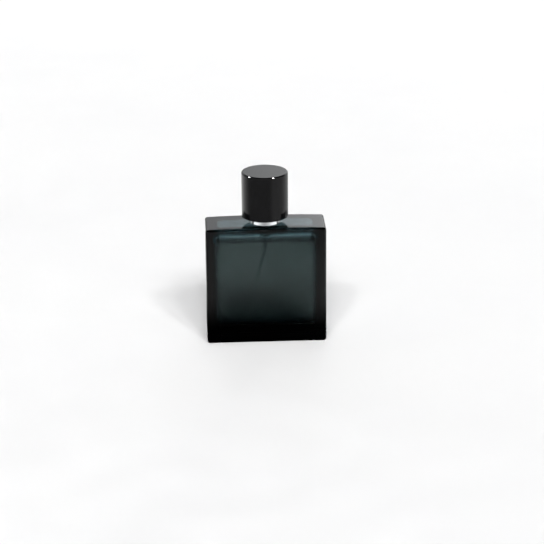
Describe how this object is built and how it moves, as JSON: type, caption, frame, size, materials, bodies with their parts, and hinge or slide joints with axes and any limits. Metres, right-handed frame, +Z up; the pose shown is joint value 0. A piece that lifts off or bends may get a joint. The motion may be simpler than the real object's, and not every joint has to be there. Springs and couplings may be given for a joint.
{
  "type": "aftershave bottle",
  "caption": "Square, shallow dark glass bottle with a crimped spray pump, a polished metal collar and a round pull-off cap.",
  "frame": {"origin": "bottom centre of the glass, on the surface that the bottle stands on", "axes": "+Z up through the cap, +X to the right across the front, the front looks along -Y"},
  "size_m": [0.079, 0.0306, 0.1145],
  "materials": {
    "tinted_glass": "polished, dark blue-green tint",
    "liquid": "clear liquid",
    "seal_rubber": "moulded",
    "ferrule_aluminium": "satin",
    "polished_metal": "polished and anodised silver",
    "dark_plastic": "moulded",
    "white_plastic": "moulded",
    "seal_plastic": "soft, waxy",
    "tube_plastic": "translucent",
    "ball_steel": "polished",
    "spring_steel": "drawn wire",
    "gloss_black": "high gloss"
  },
  "bodies": {
    "bottle": {"glass_bottle": "tinted_glass", "fragrance": "liquid", "neck_gasket": "seal_rubber", "crimp_ferrule": "ferrule_aluminium", "collar": "polished_metal", "collar_insert": "dark_plastic", "pump_housing": "white_plastic", "dip_tube": "tube_plastic", "return_spring": "spring_steel", "stem_gasket": "seal_rubber", "turret": "white_plastic"},
    "ball": {"check_ball": "ball_steel"},
    "pump_stem": {"stem": "white_plastic", "plunger": "white_plastic"},
    "pump_piston": {"piston": "seal_plastic"},
    "button": {"actuator_body": "dark_plastic", "actuator_shell": "polished_metal", "nozzle_insert": "dark_plastic"},
    "cap": {"cap_shell": "gloss_black", "cap_liner": "dark_plastic"}
  },
  "joints": [
    {"name": "cap_lift", "type": "slide", "parent": "bottle", "child": "cap", "axis": [0, 0, 1], "range_m": [0, 0.04]},
    {"name": "pump_press", "type": "slide", "parent": "bottle", "child": "pump_stem", "axis": [0, 0, -1], "range_m": [0, 0.0045], "stiffness_N_per_m": 2000, "springref_m": -0.0025, "deforming": ["return_spring"]},
    {"name": "button_turn", "type": "hinge", "parent": "pump_stem", "child": "button", "pos_m": [0, 0, 0.1], "axis": [0, 0, 1], "continuous": true},
    {"name": "piston_slip", "type": "slide", "parent": "pump_stem", "child": "pump_piston", "axis": [0, 0, 1], "range_m": [0, 0.0005]},
    {"name": "ball_lift", "type": "slide", "parent": "bottle", "child": "ball", "axis": [0, 0, 1], "range_m": [0, 0.0006]}
  ]
}
